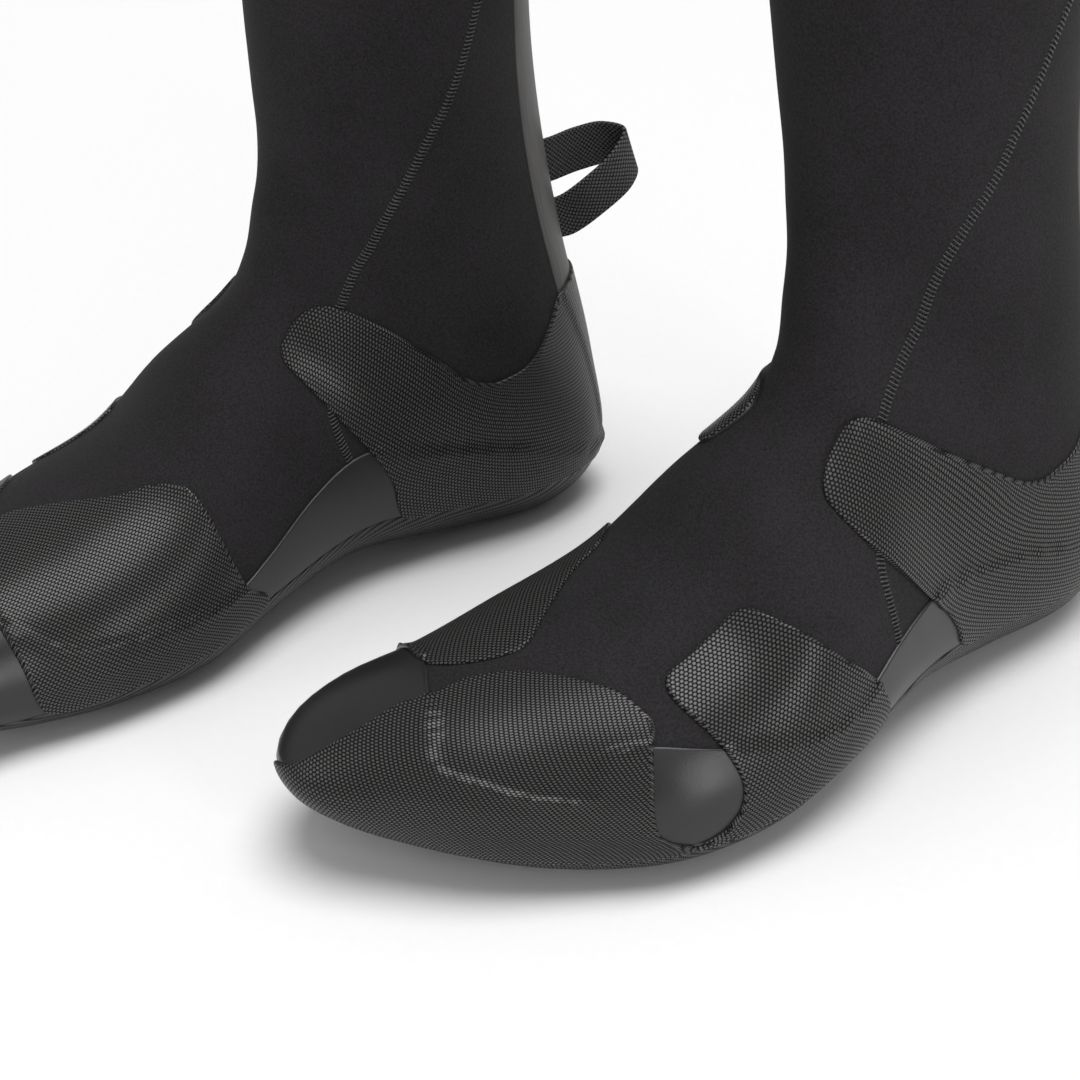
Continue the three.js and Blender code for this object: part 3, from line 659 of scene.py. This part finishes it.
# ---- Materials ----
class Wire:
    """A node socket that arithmetic works on: each operation adds a Math node."""

    def __init__(self, tree, socket):
        self.tree = tree
        self.socket = socket

    def node(self, kind, settings=None, sockets=None, out=0):
        """Any node: its type, its settings, then the values or wires of its sockets."""
        made = self.tree.nodes.new(kind)
        for key, value in (settings or {}).items():
            setattr(made, key, value)
        for key, value in (sockets or {}).items():
            if isinstance(value, Wire):
                self.tree.links.new(value.socket, made.inputs[key])
            else:
                made.inputs[key].default_value = value
        return Wire(self.tree, made.outputs[out])

    def math(self, operation, *others):
        return self.node("ShaderNodeMath", {"operation": operation},
                         dict(enumerate([self, *others])))

    def __add__(self, other):
        return self.math("ADD", other)

    def __sub__(self, other):
        return self.math("SUBTRACT", other)

    def __mul__(self, other):
        return self.math("MULTIPLY", other)

    def __truediv__(self, other):
        return self.math("DIVIDE", other)

    def __rsub__(self, other):
        return self * -1 + other

    __radd__ = __add__

    def step(self, low, high):
        """Smoothstep from 0 at low to 1 at high; low may be the larger."""
        return self.node("ShaderNodeMapRange", {"interpolation_type": "SMOOTHSTEP"},
                         {"Value": self, "From Min": low, "From Max": high})

    def mix(self, first, second):
        """Colour from first to second as this goes from 0 to 1."""
        return self.node("ShaderNodeMix", {"data_type": "RGBA"},
                         {0: self, 6: first, 7: second}, out=2)

    def noise(self, scale, detail):
        """Noise on the object's own coordinates, 0 to 1, with grains of about 1/scale metres."""
        place = self.node("ShaderNodeTexCoord", out=3)
        return self.node("ShaderNodeTexNoise", None,
                         {"Vector": place, "Scale": scale, "Detail": detail})

    def pattern(self):
        """The two axes of the piece's flat pattern, in metres."""
        uv = self.node("ShaderNodeUVMap", {"uv_map": "cut"})
        return [self.node("ShaderNodeSeparateXYZ", None, {0: uv}, out=k) for k in (0, 1)]

    def lattice(self, x, y, pitch, row):
        """Distance to the nearest point of a staggered lattice, in pitches."""
        ratio = 2 * row / pitch
        near = []
        for shift in (0.0, 0.5):
            a = (x / pitch + shift).math("FRACT") - 0.5
            b = ((y / (2 * row) + shift).math("FRACT") - 0.5) * ratio
            near.append((a * a + b * b).math("SQRT"))
        return near[0].math("MINIMUM", near[1])


def finish_of(name, roughness, **uniform):
    """A material and the wire to start its nodes from, with the uniform sockets set."""
    material = bpy.data.materials.new(name)
    material.use_nodes = True
    tree = material.node_tree
    shader = tree.nodes["Principled BSDF"]
    shader.inputs["Roughness"].default_value = roughness
    for key, value in uniform.items():
        shader.inputs[key.replace("_", " ")].default_value = value
    return material, Wire(tree, shader.outputs[0])


def wire_up(material, colour, roughness=None, height=None, relief=None, coat=None):
    """Joins a colour, a roughness, a bump of a relief in metres and a coat to the shader."""
    bump = height and height.node("ShaderNodeBump", None, {"Height": height, "Strength": 1.0,
                                                           "Distance": relief})
    shader = material.node_tree.nodes["Principled BSDF"]
    for key, wire in (("Base Color", colour), ("Roughness", roughness), ("Normal", bump),
                      ("Coat Weight", coat)):
        if wire:
            material.node_tree.links.new(wire.socket, shader.inputs[key])
    return material


def grey(value, warmth=0.0):
    """A near grey: warmth above 0 leans brown, below 0 leans violet."""
    return (value * (1 + abs(warmth)), value, value * (1 - warmth), 1.0)


def make_jersey():
    """Matt knitted face of the neoprene: fine grain over slow mottling."""
    material, wire = finish_of("jersey", 0.85, Specular_IOR_Level=0.2,
                               Sheen_Weight=0.02, Sheen_Roughness=0.4)
    grain = wire.noise(1500, 3)
    mottle = wire.noise(30, 2)
    mask = grain * 0.75 + mottle * 0.25
    colour = mask.step(0.3, 0.7).mix(grey(0.009, -0.1), grey(0.023, -0.1))
    return wire_up(material, colour, None, grain, 0.00012)


DOT_PITCH = 0.00145


def make_dotted():
    """Moulded rubber with a close staggered lattice of small raised dots, with painted shade in
    the valleys between them and a painted highlight on their tops.
    """
    material, wire = finish_of("dotted_rubber", 0.5, Specular_IOR_Level=0.12,
                               Coat_Roughness=0.3)
    x, y = wire.pattern()
    near = wire.lattice(x, y, DOT_PITCH, DOT_PITCH * ROW_SHARE)
    dot = near.step(0.5, 0.22)
    grain = wire.noise(2500, 2)
    wear = wire.noise(45, 3)
    painted_dot_light_and_wear = dot * (0.75 + grain * 0.5) * (0.8 + wear * 0.4)
    # painted shade: the valleys between the dots are near black; painted highlight: the dot tops
    # are lighter. The grain and slow wear on the tops are random tone.
    colour = painted_dot_light_and_wear.mix(grey(0.0012, 0.03), grey(0.066, 0.02))
    return wire_up(material, colour, 0.62 - dot * 0.16, dot + grain * 0.15, 0.00042, dot * 0.68)


def make_smooth():
    """Half-gloss rubber with faint handling marks."""
    material, wire = finish_of("smooth_rubber", 0.4, Specular_IOR_Level=0.5)
    smudge = wire.noise(60, 3)
    grain = wire.noise(1800, 2)
    colour = smudge.mix(grey(0.012, -0.03), grey(0.019, 0.0))
    return wire_up(material, colour, 0.28 + smudge * 0.12, grain, 0.00003)


def make_strip_rubber():
    """Grey-brown rubber strip with a fine drawn grain along its length."""
    material, wire = finish_of("strip_rubber", 0.5, Specular_IOR_Level=0.45)
    x, y = wire.pattern()
    streak = wire.node("ShaderNodeCombineXYZ", None, {0: x * 60.0, 1: y * 1400.0})
    lines = wire.node("ShaderNodeTexNoise", None, {"Vector": streak, "Scale": 1.0, "Detail": 2.0})
    colour = lines.step(0.3, 0.7).mix(grey(0.034, 0.06), grey(0.07, 0.05))
    return wire_up(material, colour, 0.46 + lines * 0.12, lines, 0.00004)


WEAVE, WEAVE_ROW, RIB = 0.0019, 0.00085, 0.00095


def make_webbing():
    """Ribbed black webbing: close cross ribs with a stagger of raised yarn floats, painted lighter
    on top as a highlight, with painted shade between them.
    """
    material, wire = finish_of("webbing", 0.6, Specular_IOR_Level=0.12)
    x, y = wire.pattern()
    near = wire.lattice(x, y, WEAVE, WEAVE_ROW)
    float_relief_and_highlight = near.step(0.42, 0.16)
    rib = (x * (2 * np.pi / RIB)).math("SINE") * 0.5 + 0.5
    # painted highlight on the yarn floats and near-black painted shade in the gaps between them
    colour = float_relief_and_highlight.mix(grey(0.002, 0.0), grey(0.12, 0.0))
    return wire_up(material, colour, None, float_relief_and_highlight + rib * 0.5, 0.0004)


def make_thread():
    """Black polyester thread with a fine twist; its lighter flecks are painted glints."""
    material, wire = finish_of("seam_thread", 0.45, Specular_IOR_Level=0.5)
    twist_and_glint = wire.noise(3000, 1)
    # painted highlight: the lighter flecks stand for glints on the thread
    colour = twist_and_glint.step(0.3, 0.7).mix(grey(0.012, 0.0), grey(0.085, 0.0))
    return wire_up(material, colour, None, twist_and_glint, 0.00008)


def make_lining_cloth():
    """Brushed lining: soft short pile with small tufts."""
    material, wire = finish_of("lining_cloth", 0.95, Specular_IOR_Level=0.2,
                               Sheen_Weight=0.25, Sheen_Roughness=0.5)
    pile = wire.noise(700, 4)
    colour = pile.step(0.3, 0.7).mix(grey(0.016, -0.05), grey(0.042, -0.05))
    return wire_up(material, colour, None, pile, 0.0004)


def make_foam():
    """Closed-cell foam, cut or moulded: very small pores."""
    material, wire = finish_of("foam", 0.8, Specular_IOR_Level=0.3)
    pores = wire.noise(2200, 3)
    colour = pores.step(0.35, 0.6).mix(grey(0.015, 0.0), grey(0.035, 0.0))
    return wire_up(material, colour, None, pores, 0.0002)


def make_floor_finish():
    """Plain pale studio floor with the faintest tooth."""
    material, wire = finish_of("studio_floor", 0.9, Specular_IOR_Level=0.1)
    tooth = wire.noise(300, 2)
    colour = tooth.mix((0.93, 0.93, 0.93, 1), (0.96, 0.96, 0.96, 1))
    return wire_up(material, colour)


JERSEY = make_jersey()
DOTTED = make_dotted()
SMOOTH = make_smooth()
STRIP_RUBBER = make_strip_rubber()
WEBBING = make_webbing()
THREAD = make_thread()
LINING_CLOTH = make_lining_cloth()
FOAM = make_foam()

# ---- Pieces ----
# Zone between foot and shaft, which bends nothing: height at the heel, slope towards the toe,
# depth.
FOLD_ZONE = {"height": 76, "slope": 0.3, "depth": 27}
STRIP_ZONE = {"height": 76, "slope": 0.0, "depth": 16}
HEEL_REACH = 2


def bend_at_ankle(piece, boot, zone):
    """Works out a sloping zone between foot and shaft, but only bakes the piece's transform."""
    slope, size = zone["slope"], np.hypot(1, zone["slope"])
    start = np.array([0, -HEEL_REACH, zone["height"]], float)
    end = start + np.array([0, slope, 1]) / size * zone["depth"]
    boot + "_foot"
    boot + "_shaft"
    stand(start, boot).tolist()
    stand(end, boot).tolist()
    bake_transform(piece)


def make_both(name, shape, material, replaced, place, boots=BOOTS):
    """Makes one piece for each boot, hides the parts it replaces and places it."""
    points, faces, uv = shape
    for boot in boots:
        piece = make_piece(f"{boot}_{name}", boot, points, faces, material, uv)
        if replaced:
            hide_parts(*[f"{boot}_{node}" for node in replaced])
        place(piece, boot)


def on_foot(piece, boot):
    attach(piece, boot + "_foot")


def on_shaft(piece, boot):
    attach(piece, boot + "_shaft")


def over_ankle(piece, boot):
    bend_at_ankle(piece, boot, FOLD_ZONE)


def panel(first, second, rows, columns):
    """A neoprene panel ruled between two edges, with rounded edges where it is seamed."""
    v, turn, left, right = ruled(first, second, rows, columns)
    face = neoprene_face(v, turn)
    outer = layer(v, turn, face - drop(np.minimum(left, right), PANEL_ROUND))
    inner = layer(v, turn, face - NEOPRENE)
    points, faces = slab(outer, inner)
    return points, faces, spread(outer)


def seam_side(points, shift):
    """A seam line moved round by part of a degree, which leaves a fine gap between panels."""
    return [[v, turn + shift] for v, turn in points]


TOE_TUCK = [*[[v, TUCK] for v in (0.5, 1, 2, 3, 4, 5, 6, 7)], [7.55, 112]]
vamp = panel([*opposite(TOE_TUCK), *seam_side(INNER_SEAM, 0.15)],
             [*TOE_TUCK, *seam_side(OUTER_SEAM, -0.15)], 190, 60)
make_both("vamp", vamp, JERSEY, ["vamp_lower", "vamp_upper", "ankle_fold"], over_ankle)
QUARTER_BACK = [[7.95, TUCK], [8.9, TUCK + 2], [9.95, TUCK + 12], [10.5, TUCK + 28], [10.95, 172],
                *[[v, 179.9] for v in (11.7, 12.45, 13.2, 14.15, 15.1, 16)]]
make_both("quarter_outer", panel(seam_side(OUTER_SEAM, 0.15), QUARTER_BACK, 110, 44), JERSEY,
          ["quarter_outer_lower", "quarter_outer_upper"], over_ankle)
make_both("quarter_inner", panel(seam_side(INNER_SEAM, -0.15), opposite(QUARTER_BACK), 110, 44),
          JERSEY, ["quarter_inner_lower", "quarter_inner_upper"], over_ankle)


def rand_band():
    """The smooth rand: a closed band ruled between its two edges, round at the top one."""
    v, turn, from_top, _ = ruled(RAND_TOP, RAND_BOTTOM, 460, 12, DISC, closed=True)
    outer = layer(v, turn, RAND_FACE - drop(from_top, RUBBER_ROUND))
    points, faces = slab(outer, layer(v, turn, RUBBER_BACK), wrap_rows=True)
    return points, faces, None


make_both("rand_rubber", rand_band(), SMOOTH, ["rand"], on_foot)


def sole():
    """The textured sole: ruled from edge to edge under the foot, flat on the floor."""
    far = [[v, 360 - turn] for v, turn in SOLE_EDGE]
    v, turn, left, right = ruled(SOLE_EDGE, far, 150, 60)
    outer = layer(v, turn, SOLE_FACE - drop(np.minimum(left, right), RUBBER_ROUND))
    inner = layer(v, turn, RUBBER_BACK)
    inner[..., 2] = np.maximum(inner[..., 2], outer[..., 2] + 0.8 * (v > 0.9))
    points, faces = slab(outer, inner)
    index = np.arange(v.size).reshape(v.shape)
    uv = flatten(outer.reshape(-1, 3), edge_pairs(halves(grid_faces(index))), spread(outer))
    return points, faces, uv


make_both("sole_rubber", sole(), DOTTED, ["outsole"], on_foot)


def make_overlays(name, outline, node, chart=POLAR, boots=BOOTS):
    """A dotted rubber overlay on each of the boots."""
    make_both(name, overlay(outline, chart), DOTTED, [node], on_foot, boots)


make_overlays("toe_cap_rubber", TOE_CAP, "toe_cap", DISC)
make_overlays("outer_wing_rubber", OUTER_WING, "outer_wing")
make_overlays("inner_wing_rubber", INNER_WING, "inner_wing")
make_overlays("counter_outer_rubber", COUNTER_OUTER, "heel_counter_outer")
make_overlays("counter_inner_rubber", opposite(COUNTER_INNER_FRONT), "heel_counter_inner",
              boots=["left"])
make_overlays("counter_inner_rubber", opposite(COUNTER_INNER), "heel_counter_inner",
              boots=["right"])


STRIP_TURN = 134
STRIP_BEVEL, STRIP_BEVEL_WIDTH, STRIP_ROUND, STRIP_BACK = 0.5, 2.6, 0.25, -0.9


def strip():
    """The rubber strip up the back, with long bevels down to the neoprene on both sides."""
    edge = [[v, STRIP_TURN] for v in (12.05, 13, 14, 15, 16)]
    far = [[v, 360 - STRIP_TURN] for v, _ in edge]
    v, turn, left, right = ruled(edge, far, 90, 24)
    near = np.minimum(left, right)
    bevel = STRIP_BEVEL * smooth(STRIP_BEVEL_WIDTH, 0, near)
    outer = layer(v, turn, STRIP_FACE - bevel - drop(near, STRIP_ROUND))
    points, faces = slab(outer, layer(v, turn, STRIP_BACK))
    return points, faces, spread(outer)


def strip_place(piece, boot):
    """A shorter zone, just above the strip's lower end; only the strip's transform is baked."""
    bend_at_ankle(piece, boot, STRIP_ZONE)


make_both("back_strip_rubber", strip(), STRIP_RUBBER, ["back_strip"], strip_place)

LOOP_PATH = [[0.9, 10.6, 122.8], [1.6, 5, 122.5], [4.6, -7, 122], [5, -19, 121],
             [0.5, -25.5, 118.5], [-4.5, -19, 114], [-4.6, -7, 107.5], [-1.6, 3, 102.2],
             [-0.9, 9.4, 102.4]]
LOOP_WIDTH = [[0, -0.1, 1], [0, -0.1, 1], [0, 0, 1], [0, 0.1, 1], [0, 0.2, 1], [0, 0.42, 1],
              [0, 0.55, 1], [0, 0.3, 1], [0, 0.2, 1]]
LOOP_HALF_WIDTH, LOOP_HALF_THICKNESS, LOOP_ROUND = 8, 0.75, 0.6


def webbing_loop():
    """A flat section carried along a looped path, its width turning a little on the way."""
    flip = np.array([1, -1, 1])
    t = np.linspace(0, 1, 160)
    path = rail(np.array(LOOP_PATH) * flip, t)
    width = rail(np.array(LOOP_WIDTH) * flip, t)
    width /= np.linalg.norm(width, axis=1, keepdims=True)
    face = np.cross(np.gradient(path, axis=0), width)
    face /= np.linalg.norm(face, axis=1, keepdims=True)
    across = np.concatenate([[-8, -7.8, -7.4], np.linspace(-6.8, 6.8, 18), [7.4, 7.8, 8]])
    half = LOOP_HALF_THICKNESS - drop(LOOP_HALF_WIDTH - np.abs(across), LOOP_ROUND)
    middle = path[:, None] + width[:, None] * across[:, None]
    thick = face[:, None] * half[:, None]
    points, faces = slab(middle + thick, middle - thick)
    return points, faces, spread(middle)


def loop_place(piece, boot):
    """A line for the sewn ends on the shaft is worked out; only the loop's transform is baked."""
    start, end = np.array([0, -4.5, 112.0]), np.array([0, 8.0, 112.0])
    boot + "_shaft"
    boot + "_loop"
    stand(start, boot).tolist()
    stand(end, boot).tolist()
    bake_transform(piece)


make_both("pull_loop_webbing", webbing_loop(), WEBBING,
          ["pull_loop", "loop_anchor_upper", "loop_anchor_lower"], loop_place)


COIL_STEP = 0.14          # spacing of the points along a seam's thread
STITCH = 1.3              # length of seam for one turn of the coil
SEAM_HALF, SLANT = 1.45, 0.6     # reach of a stroke to the side, and along the seam
THREAD_RADIUS, SIDES = 0.24, 6
COIL_HEIGHT, COIL_OFFSET = 0.4, 0.02


def seam_coil(seam):
    """A flat coil of thread over a seam: across by cosine, up and down by sine, once a stitch."""
    v, turn = from_polar(evenly(seam, POLAR, COIL_STEP))
    points = skin(v, turn)
    run = np.gradient(points, axis=0)
    run /= np.linalg.norm(run, axis=1, keepdims=True)
    normal = skin_slopes(v, turn)[2]
    side = np.cross(normal, run)
    phase = np.arange(len(v)) * COIL_STEP / STITCH * 2 * np.pi
    across = np.cos(phase)[:, None]
    lift = neoprene_face(v, turn) + COIL_OFFSET + COIL_HEIGHT * np.sin(phase)
    centre = points + side * SEAM_HALF * across + run * SLANT * across + normal * lift[:, None]
    forth = np.gradient(centre, axis=0)
    forth /= np.linalg.norm(forth, axis=1, keepdims=True)
    beside = np.cross(run, forth)
    beside /= np.linalg.norm(beside, axis=1, keepdims=True)
    above = np.cross(forth, beside)
    round_it = np.arange(SIDES) / SIDES * 2 * np.pi
    tube = (centre[:, None] + THREAD_RADIUS * (np.cos(round_it)[:, None] * beside[:, None]
                                               + np.sin(round_it)[:, None] * above[:, None]))
    index = np.arange(tube.shape[0] * SIDES).reshape(-1, SIDES)
    body = grid_faces(np.concatenate([index, index[:, :1]], axis=1))
    first, second = index[0], index[-1]
    caps = np.concatenate([[first[[0, 1, 2, 3]]], [first[[0, 3, 4, 5]]],
                           [second[[3, 2, 1, 0]]], [second[[5, 4, 3, 0]]]])
    return tube.reshape(-1, 3), [np.concatenate([body, caps])], None


make_both("outer_seam_thread", seam_coil(OUTER_SEAM), THREAD, [], over_ankle)
make_both("inner_seam_thread", seam_coil(INNER_SEAM), THREAD, [], over_ankle)


def cup(v_steps, depth_out, depth_in):
    """A sock closed at the toe: rings from the tip to the top, two faces, a rim and two tips."""
    turn = np.linspace(-180, 180, 97)[:-1]
    v, turn = np.meshgrid(v_steps, turn, indexing="ij")
    outer, inner = layer(v, turn, depth_out(v, turn)), layer(v, turn, depth_in(v, turn))
    rows, around = v.shape
    index = np.arange(rows * around).reshape(rows, around)
    shift = rows * around
    ring = np.concatenate([index, index[:, :1]], axis=1)
    top = grid_faces(ring)
    rim = wall_faces(ring[-1, ::-1], shift)
    tips = np.stack([outer[0].mean(axis=0), inner[0].mean(axis=0)])
    fan = np.stack([ring[0, 1:], ring[0, :-1], np.full(around, 2 * shift)], axis=-1)
    back = np.stack([ring[0, :-1] + shift, ring[0, 1:] + shift, np.full(around, 2 * shift + 1)],
                    axis=-1)
    points = np.concatenate([outer.reshape(-1, 3), inner.reshape(-1, 3), tips])
    return points, [np.concatenate([top, top[:, ::-1] + shift, rim]),
                    np.concatenate([fan[:, ::-1], back[:, ::-1]])], None


def lining_depth(v, turn):
    """Just inside the panels, and further in at the foot, where they are drawn in."""
    return neoprene_face(v, turn) * LINING_SINK - NEOPRENE - LINING_GAP


def lining_back(v, turn):
    """The lining's inner face: its outer one moved in by its thickness."""
    return lining_depth(v, turn) - LINING


lining_steps = np.concatenate([[0.12, 0.3, 0.5], np.linspace(0.8, 15.98, 90)])
make_both("lining", cup(lining_steps, lining_depth, lining_back), LINING_CLOTH,
          ["sock_lining", "shaft_lining"], over_ankle)


def bottom_slab(edge, depths, round_off):
    """A sheet under the foot, ruled from its outer edge to its inner one."""
    v, turn, left, right = ruled(edge, [[v, 360 - turn] for v, turn in edge], 60, 20)
    outer = layer(v, turn, depths[1])
    inner = layer(v, turn, depths[0] + drop(np.minimum(left, right), round_off))
    points, faces = slab(outer, inner)
    return points, faces, None


make_both("insole_foam", bottom_slab([[1, 138], [3, 134], [5, 132], [7, 134], [8.5, 134],
                                      [9.4, 140], [10, 152]], (-15.2, -12.8), 0.8),
          FOAM, ["insole"], on_foot)
make_both("bottom_neoprene", bottom_slab([[0.5, 128], [2, 128], [4, 128], [6, 128], [8, 128],
                                          [9, 130], [9.8, 138], [10.3, 154], [10.5, 170]],
                                         (-5.8, -3), 0.4),
          JERSEY, ["bottom_panel"], on_foot)


def cut_edge():
    """The shaft's cut foam edge: a low ring between the outer jersey and the lining."""
    turn = np.linspace(-180, 180, 181)[:-1][:, None]
    depth = np.array([-0.5, -0.6, -0.9, -1.5, -2.8, -4.1, -4.7, -5.0, -5.1])[None]
    rise = np.array([0, 0.012, 0.022, 0.028, 0.03, 0.028, 0.022, 0.012, 0])[None]
    top = layer(TOP_STATION + rise, turn, depth)
    low = layer(TOP_STATION - 0.06 + 0 * rise, turn, depth)
    points, faces = slab(top, low, wrap_rows=True)
    return points, faces, None


make_both("cut_foam_edge", cut_edge(), FOAM, [], on_shaft)


FLOOR_HALF, FLOOR_GAP = 6.0, 0.0002
WORLD_STRENGTH = 0.33


def studio_floor():
    """A flat square far larger than the pair, just under the soles."""
    corners = [[x * FLOOR_HALF, y * FLOOR_HALF, -FLOOR_GAP]
               for x, y in ((-1, -1), (1, -1), (1, 1), (-1, 1))]
    mesh = bpy.data.meshes.new("studio_floor")
    mesh.from_pydata(corners, [], [[0, 1, 2, 3]])
    mesh.materials.append(make_floor_finish())
    floor = bpy.data.objects.new("studio_floor", mesh)
    bpy.context.scene.collection.objects.link(floor)


studio_floor()
world = bpy.data.worlds.new("studio")
bpy.context.scene.world = world
world.use_nodes = True
background = world.node_tree.nodes["Background"].inputs
background["Color"].default_value = (1, 1, 1, 1)
background["Strength"].default_value = WORLD_STRENGTH
bpy.context.scene.view_settings.view_transform = "Standard"
